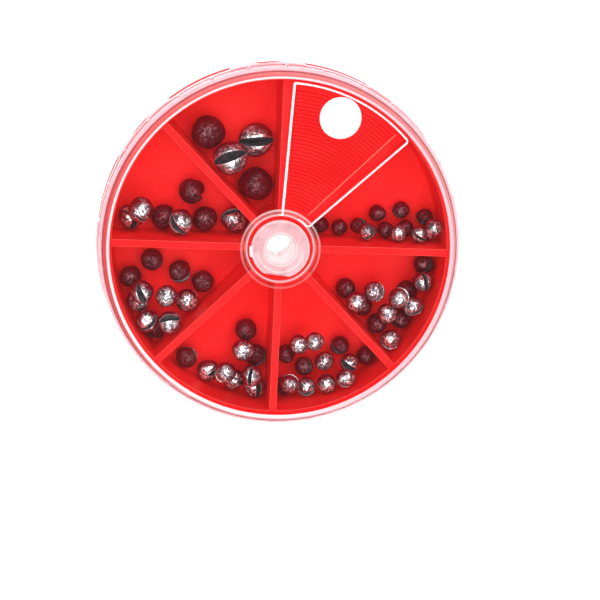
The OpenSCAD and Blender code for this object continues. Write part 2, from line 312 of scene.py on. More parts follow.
def clear_plastic():
    """Clear moulding: nearly unseen on the plate, milky round rim, skirt, band and ribs; painted highlights
    and shade.
    """
    finish = Finish("lid clear", IOR=1.49, Specular_IOR_Level=0.12)
    x, y, z, radius = finish.place()
    facing = finish.node("ShaderNodeLayerWeight", None, {"Blend": 0.35}, 1)
    haze = finish.noise(0.08, detail=2.0)
    streak = finish.noise(0.9)
    # Directions across the lid, used to paint light on one side: marks below grow whiter, thicker or pinker
    # one way
    east = x / radius * 0.5 + 0.5
    north = y / radius * 0.5 + 0.5
    wide = (x * 0.42 - y * 0.91) / radius * 0.5 + 0.5
    upper = finish.ramp(z, LID_TOP - 1.0, LID_TOP - 0.9)
    high = finish.ramp(z, LID_TOP - 2.4, LID_TOP - 1.5)

    # Painted highlight: the white ring at the shoulder's inner edge, thicker on one side
    ring_highlight = finish.ramp(radius - wide * 0.2, RING_R, RING_R + 0.15)
    ring_highlight = ring_highlight * finish.ramp(radius - wide * 0.65, RING_R + 0.52, RING_R + 0.34) * upper
    gap = finish.strip(radius, RING_R + 0.2, RING_R + 0.35, MILK_R - 0.15, MILK_R) * upper
    # Painted shade: a dark line where the gap between the tray's rim and the skirt lies in shade
    shade_line = finish.strip(radius, LINE_R - 0.14, LINE_R - 0.06, LINE_R + 0.02, LINE_R + 0.1) * upper
    milk = finish.ramp(radius, MILK_R - 0.08, MILK_R + 0.08)
    # Painted highlights: the well's wall, whiter on the north side, and a pale line on its step
    well = finish.strip(radius, WELL_R - 0.2, WELL_R + 0.1, WELL_R + 0.5, WELL_R + 0.6)
    step = finish.strip(radius, WELL_R - 0.16, WELL_R - 0.06, WELL_R + 0.1, WELL_R + 0.2)
    # Painted highlight: the bead made whiter, more so on the north side
    bead = finish.ramp(z, LID_TOP + 0.02, LID_TOP + 0.1)
    out = radius - SKIRT_R
    band = finish.ramp(z, BAND_TOP + 0.1, BAND_TOP - 0.05) * finish.ramp(out, 0.05, 0.15)
    # Painted highlights: whiter lines along the band's upper and lower lips
    lip_highlights = finish.ramp(z, BAND_Z + 0.42, BAND_Z + 0.3) + finish.ramp(z, BAND_TOP - 0.4, BAND_TOP - 0.28)
    rib = finish.ramp(z, BAND_TOP + 0.05, BAND_TOP + 0.2) * finish.ramp(out, 0.04, 0.18)

    # Plate: its own faint haze, plus the painted highlights of well, step and bead
    plate = 0.002 + haze * 0.003 + well * (0.01 + north * 0.1) + step * 0.4
    plate = plate + bead * (0.1 + north ** 2.0 * 0.35)
    # Rim: the painted highlight ring, the painted shade line, and the gap's milkiness painted stronger on the
    # east side
    rim = ring_highlight * (0.7 + streak * 0.25) + shade_line * (0.4 + haze * 0.4) + gap * (0.08 + east * 0.22)
    # Skirt: some milkiness of its own, plus painted sheen, more opaque white where it is seen edge-on
    skirt = 0.1 + facing * 1.15 + (streak - 0.5) * 0.2
    edge = milk * (high * (0.5 + streak * 0.4 - skirt) + skirt) + band * (0.12 + lip_highlights * 0.5) + rib * 0.45
    alpha = finish.node("ShaderNodeMath", {"operation": "ADD", "use_clamp": True}, {0: plate + rim, 1: edge})

    tone = finish.blend(finish.ramp(radius, 30.0, 32.3), colour(255, 236, 238), colour(252, 226, 230))
    # Painted highlight: the ring turns pinker towards the east side
    tone = finish.blend(finish.ramp(east, 0.4, 0.9) * ring_highlight, tone, colour(240, 184, 192))
    tone = finish.blend(milk, tone, finish.blend(high, colour(251, 214, 221), colour(247, 212, 221)))
    # Painted shade: darker pink where the skirt is seen most edge-on
    tone = finish.blend(finish.ramp(facing, 0.74, 0.95) * milk * 0.8, tone, colour(206, 150, 158))
    # Painted shade: the dark line's colour
    tone = finish.blend(shade_line, tone, colour(110, 62, 70))
    rough = finish.ramp(finish.noise(1.5), 0.3, 0.8, 0.05, 0.12)
    return finish.feed(Base_Color=tone, Alpha=alpha, Roughness=rough)


def white_edge_highlight():
    """White along the window's rib: a painted highlight of the clear plate's cut edge, with random grain."""
    finish = Finish("window edge white", Specular_IOR_Level=0.5)
    grain = finish.noise(1.4)
    tone = finish.blend(finish.ramp(grain, 0.3, 0.7), colour(250, 226, 230), colour(255, 250, 250))
    return finish.feed(Base_Color=tone, Alpha=finish.ramp(grain, 0.25, 0.6, 0.75, 0.98),
                       Roughness=finish.ramp(grain, 0.3, 0.8, 0.2, 0.35))


def frosted_plastic():
    """Frosted pin: cloudy pink; bore painted pale and glowing; painted highlights on lip, outer edge and near
    side.
    """
    finish = Finish("pin frosted", Specular_IOR_Level=0.4, IOR=1.5, Emission_Strength=0.3)
    _, y, _, radius = finish.place()
    cloud = finish.noise(0.35)
    grain = finish.noise(3.0, detail=4.0)
    # Painted light: the bore painted near white, and made to glow below
    bore = finish.ramp(radius, PIN_BORE_R + 0.3, PIN_BORE_R)
    # Painted highlight: a pale ring on the bore's lip
    lip = finish.strip(radius, PIN_BORE_R + 0.25, PIN_BORE_R + 0.35, PIN_BORE_R + 0.5, PIN_BORE_R + 0.6)
    # Painted highlight: a pale arc on the dish, only on its -y side
    fold_shading = finish.strip(radius, 4.2, 4.3, 4.4, 4.55) * finish.ramp(y, 0.5, -1.5)
    # Painted highlights: paler outer edge of the head, paler lip and paler arc
    rim = finish.ramp(radius, PIN_HEAD_R - 0.35, PIN_HEAD_R - 0.25) + lip * 0.7 + fold_shading * 0.6
    tone = finish.blend(finish.ramp(cloud, 0.25, 0.75), colour(212, 152, 159), colour(234, 184, 189))
    tone = finish.blend(bore, tone, colour(252, 238, 238))
    tone = finish.blend(rim, tone, colour(252, 230, 232))
    # Painted light: a glow given to the bore
    glow = finish.blend(bore, colour(0, 0, 0), colour(226, 200, 204))
    return finish.feed(Base_Color=tone, Alpha=finish.ramp(cloud, 0.3, 0.75, 0.82, 0.94), Emission_Color=glow,
                       Roughness=finish.ramp(grain, 0.3, 0.8, 0.35, 0.55), Normal=finish.bump(grain, 0.01))


def lead(name, side, crinkle_dark, top, top_from, top_full, metal, rough):
    """Dented lead: painted red reflection and shade down its sides, painted crinkled highlights where it
    faces up.
    """
    finish = Finish(name, Specular_IOR_Level=0.06)
    upright = finish.node("ShaderNodeSeparateXYZ", None, {0: finish.node("ShaderNodeTexCoord", output=1)}, 2)
    dents = finish.noise(0.5, detail=2.0, rough=0.5, warp=0.4)
    crinkle = finish.noise(0.8, detail=1.0, rough=0.5, warp=2.0)
    # Painted shade: darker lines along the crinkle's folds
    fold_shading = finish.ramp(abs(crinkle - 0.5), 0.0, 0.06)
    # Painted light: where the ball faces upward it takes the bright crinkled colours; down its sides the side
    # colour, a painted red reflection and shade
    painted_lit = finish.ramp(upright + (dents - 0.5) * 0.9, top_from, top_full)
    # Painted crinkled highlight: dark and bright patches over the upward face
    tone = finish.blend(finish.ramp(crinkle, 0.42, 0.58) * (0.4 + fold_shading * 0.6), crinkle_dark, top)
    tone = finish.blend(painted_lit, side, tone)
    return finish.feed(Base_Color=tone, Metallic=finish.ramp(painted_lit, 0.1, 0.8, 0.45, metal),
                       Roughness=finish.ramp(crinkle, 0.35, 0.7, rough, rough * 0.5),
                       Normal=finish.bump(crinkle * 1.3 + dents * 2.0, 0.12))


def split_shade():
    """The dark faces inside a shot's split."""
    finish = Finish("lead split", Metallic=0.7)
    grain = finish.noise(1.4)
    tone = finish.blend(finish.ramp(grain, 0.35, 0.7), colour(92, 87, 94), colour(138, 131, 139))
    return finish.feed(Base_Color=tone, Roughness=finish.ramp(grain, 0.3, 0.7, 0.4, 0.6),
                       Normal=finish.bump(grain, 0.04))


def closed_mesh(name, points, faces):
    """A closed mesh from points in millimetres, with its faces turned outward."""
    mesh = bpy.data.meshes.new(name)
    mesh.from_pydata([tuple(p) for p in np.asarray(points) * MM], [], faces)
    form = bmesh.new()
    form.from_mesh(mesh)
    if form.calc_volume(signed=True) < 0:
        bmesh.ops.reverse_faces(form, faces=form.faces)
    form.to_mesh(mesh)
    form.free()
    return mesh


def smooth(mesh, sharp):
    """Shades the mesh smooth but for its edges over this angle."""
    mesh.polygons.foreach_set("use_smooth", [True] * len(mesh.polygons))
    mesh.set_sharp_from_angle(angle=math.radians(sharp))


def lay_piece(name, points, faces, material, body, node, sharp=35):
    """A piece from points in millimetres, which rides on a body and stands for a solid."""
    mesh = closed_mesh(name, points, faces)
    mesh.materials.append(material)
    piece = bpy.data.objects.new(name, mesh)
    bpy.context.scene.collection.objects.link(piece)
    smooth(mesh, sharp)
    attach(piece, body)
    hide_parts(node)
    return piece


def carve(piece, points, faces):
    """Cuts a closed form out of a piece."""
    cutter = bpy.data.objects.new("cutter", closed_mesh("cutter", points, faces))
    bpy.context.scene.collection.objects.link(cutter)
    cut = piece.modifiers.new("cut", "BOOLEAN")
    cut.operation = "DIFFERENCE"
    cut.solver = "EXACT"
    cut.object = cutter
    bpy.context.view_layer.update()
    solid = bpy.data.meshes.new_from_object(piece.evaluated_get(bpy.context.evaluated_depsgraph_get()))
    piece.modifiers.remove(cut)
    piece.data = solid
    bpy.data.objects.remove(cutter)


def row_faces(rows, around, closed):
    """Quads between rows of as many points; closed joins the last row to the first."""
    faces = []
    for i in range(rows if closed else rows - 1):
        low = i * around
        high = (i + 1) % rows * around
        for j in range(around):
            k = (j + 1) % around
            faces.append((low + j, low + k, high + k, high + j))
    return faces


def end_faces(rows, around):
    """The two faces that close an open run of rows."""
    last = (rows - 1) * around
    return [tuple(reversed(range(around))), tuple(last + k for k in range(around))]


def polar(radius, angle):
    """Plan point at this distance from the hub's axis and at this angle."""
    return radius * math.cos(angle), radius * math.sin(angle)


def arc(radius, start, end, steps):
    """Plan points along an arc round the hub's axis."""
    return [polar(radius, start + (end - start) * k / steps) for k in range(steps + 1)]


def prism(outline, low, high):
    """Points and faces of an upright prism over an outline of plan points."""
    points = [(x, y, z) for z in (low, high) for x, y in outline]
    return points, row_faces(2, len(outline), False) + end_faces(2, len(outline))


def hoop(radius, height, turns):
    """Points round the hub's axis at these angles; radius and height may vary with them."""
    r = radius * np.ones_like(turns)
    z = height * np.ones_like(turns)
    return np.stack([r * np.cos(turns), r * np.sin(turns), z], axis=1)


def corner(radius, height, in_r, in_z):
    """Three rows of a rounded corner, from its level face to its upright one."""
    ease = 0.3
    return [(radius + in_r, height), (radius + in_r * ease, height + in_z * ease), (radius, height + in_z)]


def turned_piece(name, hoops, material, body, node):
    """A closed piece over hoops of points that run over its outside and back through its inside."""
    faces = row_faces(len(hoops), len(hoops[0]), True)
    return lay_piece(name, np.concatenate(hoops), faces, material, body, node)


def wall_rows(face, height, edge_round=EDGE_ROUND):
    """Rows down one side of a moulded wall: distance from its middle, and drop below its top."""
    draft = 0.04
    foot_round = 0.6
    quarter = [math.pi / 2 * share for share in (0, 1 / 3, 2 / 3, 1)]
    top = [(face - edge_round * (1 - math.sin(a)), edge_round * (1 - math.cos(a))) for a in quarter]
    foot = [(face + draft + foot_round * (1 - math.cos(a)), height - foot_round * (1 - math.sin(a)))
            for a in quarter]
    return top + foot


def drop_beside(distance, rows):
    """Drop below the wall's top at this distance from its middle."""
    return np.interp(distance, [row[0] for row in rows], [row[1] for row in rows])


# Stations round the tray: those beside each wall keep their distance from it at every radius
SIDE_ROWS = wall_rows(WALL_T / 2, WALL_TOP - FLOOR_Z)
OFFSETS = sorted({0.0, WALL_T / 4, FIELD_EDGE + FIELD_SLOPE, *DECK_BEAD, *(row[0] for row in SIDE_ROWS)})
OPEN_STEPS = 38
FAR_FROM_WALLS = 9.0


def stations(radius):
    """Angle, distance from the nearest wall and sector number of each station at this radius."""
    beside = np.arcsin(np.array(OFFSETS) / max(radius, HUB_R))
    between = np.linspace(beside[-1], SECTOR_TURN - beside[-1], OPEN_STEPS + 1)[1:-1]
    turns = np.concatenate([beside, between, SECTOR_TURN - beside[:0:-1]])
    away = np.concatenate([OFFSETS, np.full(len(between), FAR_FROM_WALLS), OFFSETS[:0:-1]])
    sector = np.arange(SECTORS).repeat(len(turns))
    return np.tile(turns, SECTORS) + sector * SECTOR_TURN, np.tile(away, SECTORS), sector


def plain_ring(radius, height):
    """Ring of the tray at one radius and height."""
    return hoop(radius, height, stations(radius)[0])


def groove_drop(radius):
    """Depth of the groove between two arc ribs of the deck."""
    if not FIELD_FROM <= radius <= FIELD_TO:
        return 0.0
    share = (radius - FIELD_FROM) / RIB_PITCH % 1
    return RIB_H * float(np.interp(share, RIB_SHARES, [0, 1, 1, 0]))


def floor_ring(radius):
    """Ring of the tray's upper side: compartments between walls, and the deck with its arc ribs."""
    turns, away, sector = stations(radius)
    height = WALL_TOP - FLOOR_Z
    hub_drop = drop_beside(radius, wall_rows(HUB_R, height))
    rim_drop = drop_beside(2 * RIM_IN_R - radius, wall_rows(RIM_IN_R, height))
    drop = np.minimum(min(hub_drop, rim_drop), drop_beside(away, SIDE_ROWS))
    deck = sector == DECK_SECTOR
    field = np.interp(away[deck], [FIELD_EDGE, FIELD_EDGE + FIELD_SLOPE], [0, 1])
    drop[deck] = groove_drop(radius) * field
    near_first = deck & (turns < (DECK_SECTOR + 0.5) * SECTOR_TURN)
    if FIELD_FROM < radius < FIELD_TO + 0.5:
        drop[near_first] -= np.interp(away[near_first], DECK_BEAD, [0, DECK_BEAD_H, DECK_BEAD_H, 0])
    return hoop(radius, WALL_TOP - drop, turns)


def under_ring(radius):
    """Ring of the tray's underside: flat but for the open space under the deck."""
    turns, away, sector = stations(radius)
    height = WALL_TOP - DECK_T
    hub_drop = drop_beside(radius, wall_rows(HUB_R, height, FILLET))
    rim_drop = drop_beside(2 * RIM_IN_R - radius, wall_rows(RIM_IN_R, height, FILLET))
    drop = np.minimum(min(hub_drop, rim_drop), drop_beside(away, wall_rows(WALL_T / 2, height)))
    drop[sector != DECK_SECTOR] = 0
    return hoop(radius, drop, turns)


def side_ring(height):
    """Ring of the fluted side: the flutes run out where the side tapers in."""
    radius = FOOT_R + SIDE_TAPER * (height - FOOT_ROUND)
    turns = stations(radius)[0]
    apart = math.tau / FLUTES
    off = (turns + apart / 2) % apart - apart / 2
    middle = SIDE_R + FLUTE_R - FLUTE_DEPTH
    inside = np.maximum(FLUTE_R ** 2 - (middle * np.sin(off)) ** 2, 0)
    flute = np.where(inside > 0, middle * np.cos(off) - np.sqrt(inside), radius)
    side = np.minimum(radius, flute)
    return hoop(side, height, stations(float(side.max()))[0])


def post_rows():
    """Rows over the top of the hollow post, from its bore to the walls' top."""
    tip = HUB_R - POST_LAND
    return [(BORE_R, POST_TOP - EDGE_ROUND), (BORE_R + EDGE_ROUND, POST_TOP),
            (tip - POST_RISE - 0.05, POST_TOP), (tip - POST_RISE + 0.05, POST_TOP - 0.04),
            (tip - 0.02, WALL_TOP + 0.02), (tip + 0.03, WALL_TOP)]


def upper_radii():
    """Radii of the rings of the tray's upper side: post foot, deck field and rim foot."""
    height = WALL_TOP - FLOOR_Z
    hub = [row[0] for row in wall_rows(HUB_R, height)]
    rim = [2 * RIM_IN_R - row[0] for row in wall_rows(RIM_IN_R, height)][::-1]
    ribs = range(math.ceil((FIELD_TO - FIELD_FROM) / RIB_PITCH))
    field = [FIELD_FROM + RIB_PITCH * (k + share) for k in ribs for share in RIB_SHARES]
    return hub + [r for r in field if r < FIELD_TO - RIB_PITCH / 4] + rim


def ledge_rows():
    """Rows down the rim's outer side and round the ledge under it."""
    rows = corner(RIM_R, WALL_TOP, -EDGE_ROUND, -EDGE_ROUND)
    rows += corner(RIM_R, LEDGE_TOP, 0.25, 0.25)[::-1]
    rows += [(LEDGE_R - FILLET * (1 - math.sin(a)), LEDGE_TOP - FILLET * (1 - math.cos(a)))
             for a in np.linspace(0, math.pi / 2, 4)]
    return rows + corner(LEDGE_R, LEDGE_Z, -EDGE_SOFT, EDGE_SOFT)[::-1]


def recess_rows():
    """Rows of the recess under the post, where the pin's barb sits, and up into the bore."""
    return [(RECESS_R + 0.2, 0), (RECESS_R, 0.2), (RECESS_R, RECESS_H - 0.1), (RECESS_R - 0.1, RECESS_H),
            (BORE_R + EDGE_SOFT, RECESS_H), (BORE_R, RECESS_H + EDGE_SOFT)]


def tray():
    """The red tray: post, compartments, deck, rim, ledge, fluted side and underside."""
    hoops = [plain_ring(*row) for row in post_rows()]
    hoops += [floor_ring(r) for r in upper_radii()]
    hoops += [plain_ring(*row) for row in ledge_rows()]
    hoops += [side_ring(z) for z in (LEDGE_Z, LEDGE_Z - 0.1, *SIDE_HEIGHTS, FOOT_ROUND)]
    hoops += [plain_ring(FOOT_R - FOOT_ROUND * (1 - math.cos(a)), FOOT_ROUND * (1 - math.sin(a)))
              for a in np.linspace(0.3, math.pi / 2, 5)]
    under_rim = [2 * RIM_IN_R - row[0] for row in wall_rows(RIM_IN_R, WALL_TOP - DECK_T, FILLET)]
    under_hub = [row[0] for row in wall_rows(HUB_R, WALL_TOP - DECK_T, FILLET)][::-1]
    hoops += [under_ring(r) for r in under_rim + UNDER_RADII + under_hub]
    hoops += [plain_ring(*row) for row in recess_rows()]
    piece = turned_piece("tray_moulding", hoops, red_plastic(), "tray_body", "tray")
    hole_x, hole_y = polar(HOLE_AT, (DECK_SECTOR + 0.5) * SECTOR_TURN)
    outline = [(hole_x + x, hole_y + y) for x, y in arc(HOLE_R, 0, math.tau, 96)[:-1]]
    carve(piece, *prism(outline, WALL_TOP - DECK_T - OVER, WALL_TOP + OVER))
    smooth(piece.data, 35)


def lid_turns():
    """Angles round the lid, closer together at each grip rib."""
    on_rib = (-0.75, -0.6, -0.45, -0.2, 0, 0.2, 0.45, 0.6, 0.75)
    between = np.linspace(1.5, 10.14, 10)
    turns = []
    for k in range(GRIPS):
        middle = (k + 0.5) * math.tau / GRIPS
        turns += [middle + math.radians(a) for a in (*on_rib, *between)]
    return np.array(sorted(turns))


def grip_swell(turns):
    """How far the skirt stands out at a grip rib."""
    apart = math.tau / GRIPS
    off = np.abs((turns % apart) - apart / 2) * SKIRT_R
    return np.sqrt(np.maximum(GRIP_R ** 2 - off ** 2, 0))


def band_relief(turns):
    """How far the band stands back, between the lobes beside the notches."""
    apart = math.tau / NOTCHES
    off = np.abs((turns - NOTCH_FROM + apart / 2) % apart - apart / 2) * BAND_R
    lobe = NOTCH_W / 2 + NOTCH_FLARE + LOBE_W
    return LOBE_H * np.interp(off, [lobe - 0.15, lobe + 0.35], [0, 1])


def plate_rows():
    """Rows over the lid's top, from the bore over the well, bead and plate to the shoulder."""
    rows = [(BORE_R, WELL_Z - 0.1), (BORE_R + 0.1, WELL_Z), (WELL_R - EDGE_SOFT, WELL_Z),
            (WELL_R, WELL_Z + EDGE_ROUND), (WELL_R + 0.05, WELL_SIDE_Z), (WELL_R + 0.15, LID_TOP - 0.27),
            (BEAD_R - 0.35, LID_TOP - 0.04), (BEAD_R - BEAD_HALF, LID_TOP)]
    rows += [(BEAD_R - BEAD_HALF * math.cos(a), LID_TOP + BEAD_H * math.sin(a))
             for a in np.linspace(0.2, math.pi - 0.2, 5)]
    rows += [(BEAD_R + 0.27, LID_TOP)]
    rows += [(r, LID_TOP) for r in PLATE_RADII]
    return rows + [(SHOULDER_R + SHOULDER_W * math.cos(a), LID_TOP - SHOULDER_H * (1 - math.sin(a)))
                   for a in np.linspace(math.pi / 2, 0, 10)]


def skirt_rows(turns):
    """Rows down the skirt with its grip ribs, and round the band with its lobes."""
    grip = grip_swell(turns)
    face = BAND_R - band_relief(turns)
    rows = [(SKIRT_R, GRIP_TOP + 0.05), (SKIRT_R + grip * 0.7, GRIP_TOP)]
    rows += [(SKIRT_R + grip, z) for z in (GRIP_TOP - 0.15, BAND_TOP + 0.15, BAND_TOP + 0.02)]
    rows += [(np.maximum(SKIRT_R + 0.05, face - 0.33), BAND_TOP), (face - 0.25, BAND_TOP - 0.03),
             (face - 0.04, BAND_TOP - 0.2), (face, BAND_TOP - 0.3)]
    return rows + corner(face, BAND_Z, -EDGE_SOFT, EDGE_SOFT)[::-1]


def inner_rows():
    """Rows up the skirt's inner side and back under the plate to the bore."""
    step = BAND_STEP / 2
    rows = [(SKIRT_IN_R + 0.3, BAND_Z), (SKIRT_IN_R + step, BAND_TOP - BAND_STEP), (SKIRT_IN_R, BAND_TOP)]
    rows += corner(SKIRT_IN_R, PLATE_Z, -FILLET, -FILLET)[::-1]
    return rows + [(r, PLATE_Z) for r in (*PLATE_UNDER_RADII, BORE_R + 0.1)] + [(BORE_R, PLATE_Z + 0.1)]


def window_corner(edge, inward, corner_r, grow):
    """Middle angle of the window's corner at this edge, and its points from the edge to the outer arc."""
    middle_r = WINDOW_R - corner_r
    middle = edge + inward * math.asin(corner_r / middle_r)
    x, y = polar(middle_r, middle)
    turns = np.linspace(edge - inward * math.pi / 2, middle, 7)
    r = corner_r + grow
    return middle, [(x + r * math.cos(a), y + r * math.sin(a)) for a in turns]


def window_outline(grow):
    """Outline of the window, grown outward: inner arc, second edge, outer arc, first edge."""
    inner_r = WINDOW_IN_R - grow
    spread = math.asin(grow / inner_r)
    second, second_corner = window_corner(WINDOW_TO, -1, SECOND_CORNER_R, grow)
    first, first_corner = window_corner(WINDOW_FROM, 1, FIRST_CORNER_R, grow)
    points = arc(inner_r, WINDOW_FROM - spread, WINDOW_TO + spread, INNER_ARC_STEPS)
    points += second_corner + arc(WINDOW_R + grow, second, first, OUTER_ARC_STEPS)[1:-1]
    return points + first_corner[::-1]


def notch_cutter(turn):
    """Flared notch through the band and skirt, as a prism that lies along the radius."""
    half = NOTCH_W / 2
    right = [(half + NOTCH_FLARE, BAND_Z - OVER / 2), (half + NOTCH_FLARE, BAND_Z + NOTCH_H / 6),
             (half + NOTCH_FLARE / 4, BAND_Z + NOTCH_H * 2 / 3), (half - NOTCH_FLARE / 2, BAND_Z + NOTCH_H)]
    outline = right + [(-y, z) for y, z in reversed(right)]
    out = np.array(polar(1, turn))
    side = np.array(polar(1, turn + math.pi / 2))
    reach = (SKIRT_IN_R - OVER / 2, BAND_R + OVER / 2)
    points = [(*(out * r + side * y), z) for r in reach for y, z in outline]
    return points, row_faces(2, len(outline), False) + end_faces(2, len(outline))


def lid():
    """The clear lid: plate with well, bead and window, shoulder, skirt with ribs, and notched band."""
    turns = lid_turns()
    hoops = [hoop(r, z, turns) for r, z in plate_rows() + skirt_rows(turns) + inner_rows()]
    piece = turned_piece("lid_moulding", hoops, clear_plastic(), "lid_body", "lid")
    carve(piece, *prism(window_outline(0.0), PLATE_Z - OVER, LID_TOP + OVER))
    for k in range(NOTCHES):
        carve(piece, *notch_cutter(NOTCH_FROM + k * math.tau / NOTCHES))
    smooth(piece.data, 32)


def window_rib(name, route, widths, tops, material):
    """A rib on the lid along a route of plan points, with its width and top at each of them."""
    route = np.array(route, float)
    ahead = np.diff(route, axis=0)
    ahead = np.vstack([ahead, ahead[-1:]]) + np.vstack([ahead[:1], ahead])
    ahead /= np.linalg.norm(ahead, axis=1)[:, None]
    across = np.stack([-ahead[:, 1], ahead[:, 0]], axis=1)
    points = []
    for spot, side, width, top in zip(route, across, widths, tops):
        section = [(-0.5, WELL_SIDE_Z), (-0.5, top - RIB_CHAMFER), (-0.25, top),
                   (0.25, top), (0.5, top - RIB_CHAMFER), (0.5, WELL_SIDE_Z)]
        points += [(*(spot + side * share * width), z) for share, z in section]
    around = len(section)
    faces = row_faces(len(route), around, False) + end_faces(len(route), around)
    lay_piece(name, points, faces, material, "lid_body", "lid")


# The window's rib: how far it lies beside the window, its widths, and its tails from the window
# inward, by radius and height above the lid's top; the hook and the foot lie in the well
RIB_BESIDE = 0.25
RIB_WIDE = 0.46
RIB_NARROW = 0.34
RIB_CHAMFER = 0.07
TAIL_R = (8.1, 7.75, 7.2, 6.95, 6.6)
TAIL_H = (0.15, 0.25, 0.25, 0.02, -0.12)
HOOK_FROM = math.radians(44)
HOOK_TO = math.radians(62)
RIB_FOOT = ((-0.66, 6.52), (-0.2, 6.55), (0.38, 6.52))
RIB_FOOT_W = 0.26


def window_ribs():
    """Rib along the window's edges, painted white as a highlight; its two tails run over the bead into the
    lid's well.
    """
    route = window_outline(RIB_BESIDE)[INNER_ARC_STEPS + 1:]
    second = [polar(r, WINDOW_TO + math.asin(RIB_BESIDE / r)) for r in TAIL_R]
    first = [polar(r, WINDOW_FROM - math.asin(RIB_BESIDE / r)) for r in TAIL_R]
    hook = arc(TAIL_R[-1], HOOK_FROM, HOOK_TO, 8)
    whole = second[::-1] + route + first[:-1] + hook
    heights = TAIL_H[::-1] + TAIL_H[:1] * len(route) + TAIL_H[:-1] + TAIL_H[-1:] * len(hook)
    widths = np.interp(range(len(whole)), [0, 8, 16], [RIB_WIDE, RIB_WIDE, RIB_NARROW])
    white = white_edge_highlight()
    window_rib("lid_window_rib", whole, widths, [LID_TOP + h for h in heights], white)
    foot_tops = [LID_TOP + TAIL_H[-1]] * len(RIB_FOOT)
    window_rib("lid_window_rib_foot", RIB_FOOT, [RIB_FOOT_W] * len(RIB_FOOT), foot_tops, white)


# The pin's head is trimmed along one side, and has the stub of its moulding gate on another
TRIM_TURN = math.radians(-96.2)
TRIM_AT = 5.06
GATE_TURN = math.radians(187)
GATE_HALF = math.radians(11)
GATE_OUT = 0.36


def head_ring(radius, height, turns):
    """Ring of the pin's head at its outer edge, with the trimmed side and the stub."""
    facing = np.cos(turns - TRIM_TURN)
    trimmed = np.where(facing > 0.3, TRIM_AT / np.maximum(facing, 0.3), 2 * PIN_HEAD_R)
    stub = np.where(np.abs(turns - GATE_TURN) < GATE_HALF, GATE_OUT, 0)
    r = np.minimum(radius, trimmed - (PIN_HEAD_R - radius))
    if radius > PIN_HEAD_R - 0.3:
        r = r + stub
    return hoop(r, height, turns)


def hub_pin():
    """The frosted snap pin: barb, shank, head with a dished top, and bore."""
    turns = np.radians(np.arange(0, 360, 3.0))
    head_top = PIN_HEAD_Z + PIN_HEAD_T
    tip_z = BARB_Z - BARB_H
    lower = [(PIN_BORE_R, tip_z), (SHANK_R - 0.2, tip_z), (SHANK_R, tip_z + 0.1), (BARB_R, BARB_Z - 0.35),
             (BARB_R, BARB_Z - 0.05), (BARB_R - 0.05, BARB_Z), (SHANK_R, BARB_Z), (SHANK_R, PIN_HEAD_Z)]
    head = [(PIN_HEAD_R - 0.1, PIN_HEAD_Z), (PIN_HEAD_R, PIN_HEAD_Z + 0.1), (PIN_HEAD_R, head_top - 0.45),
            (PIN_HEAD_R - 0.08, head_top - 0.2), (PIN_HEAD_R - 0.3, head_top)]
    dish_z = head_top - DISH_DEPTH
    inner = [(PIN_HEAD_R - 1, head_top), (DISH_R + 0.15, dish_z), (DISH_R, dish_z), (DISH_R - 0.45, head_top),
             (PIN_BORE_R + PIN_LIP, head_top), (PIN_BORE_R + 0.2, head_top - EDGE_ROUND),
             (PIN_BORE_R + 0.04, head_top - PIN_LIP), (PIN_BORE_R, head_top - PIN_LIP - 0.3)]
    hoops = [hoop(r, z, turns) for r, z in lower]
    hoops += [head_ring(r, z, turns) for r, z in head]
    hoops += [hoop(r, z, turns) for r, z in inner]
    piece = turned_piece("hub_pin_moulding", hoops, frosted_plastic(), "tray_body", "hub_pin")
    for turn in (0, math.pi / 2):
        out = np.array(polar(BARB_R + OVER, turn))
        side = np.array(polar(SNAP_SLOT / 2, turn + math.pi / 2))
        outline = [tuple(out + side), tuple(-out + side), tuple(-out - side), tuple(out - side)]
        carve(piece, *prism(outline, BARB_Z - BARB_H - OVER, BARB_Z + SNAP_L))
    smooth(piece.data, 40)


def loose_parts(node):
    """The separate closed parts of a solid: their points, and their faces' middles, normals and areas."""
    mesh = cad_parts[node].data
    points = np.array([v.co for v in mesh.vertices]) / MM
    keys = {}
    home = np.array([keys.setdefault(tuple(np.round(p, 4)), len(keys)) for p in points])
    parent = list(range(len(keys)))

    def root(k):
        while parent[k] != k:
            parent[k] = parent[parent[k]]
            k = parent[k]
        return k

    for face in mesh.polygons:
        first = root(home[face.vertices[0]])
        for v in face.vertices[1:]:
            parent[root(home[v])] = first
    groups = {}
    for face in mesh.polygons:
        groups.setdefault(root(home[face.vertices[0]]), []).append(face)
    for faces in groups.values():
        used = sorted({v for face in faces for v in face.vertices})
        yield (points[used], np.array([face.center for face in faces]) / MM,
               np.array([face.normal for face in faces]), np.array([face.area for face in faces]))


def unit(vector):
    """The same direction, one long."""
    return vector / np.linalg.norm(vector)


def shot_lie(points, middles, normals, areas):
    """Middle, radius, split axis and mouth direction of a solid shot."""
    system = np.hstack([2 * points, np.ones((len(points), 1))])
    answer = np.linalg.lstsq(system, (points ** 2).sum(1), rcond=None)[0]
    middle = answer[:3]
    radius = math.sqrt(answer[3] + middle @ middle)
    outward = middles - middle
    outward /= np.linalg.norm(outward, axis=1)[:, None]
    # The split's two sides are the faces that don't look straight away from the middle
    flat = (outward * normals).sum(1) < 0.85
    largest = normals[flat][np.argmax(areas[flat])]
    one_side = flat & (normals @ largest > 0.98)
    other_side = flat & (normals @ largest < 0.95)
    one = unit((normals[one_side] * areas[one_side, None]).sum(0))
    other = unit((normals[other_side] * areas[other_side, None]).sum(0))
    mouth = unit(one + other)
    return middle, radius, unit(np.cross(one - other, mouth)), mouth


# Steps round a shot's section outside its split and along the split, and its wear in shares of its radius
ROUND_POINTS = 46
LENGTH_ROWS = 30
DENTS = 18
DENT_MOST = 0.16
RIPPLES = 10
RIPPLE_H = 0.008
RIPPLE_TURNS = 3.4


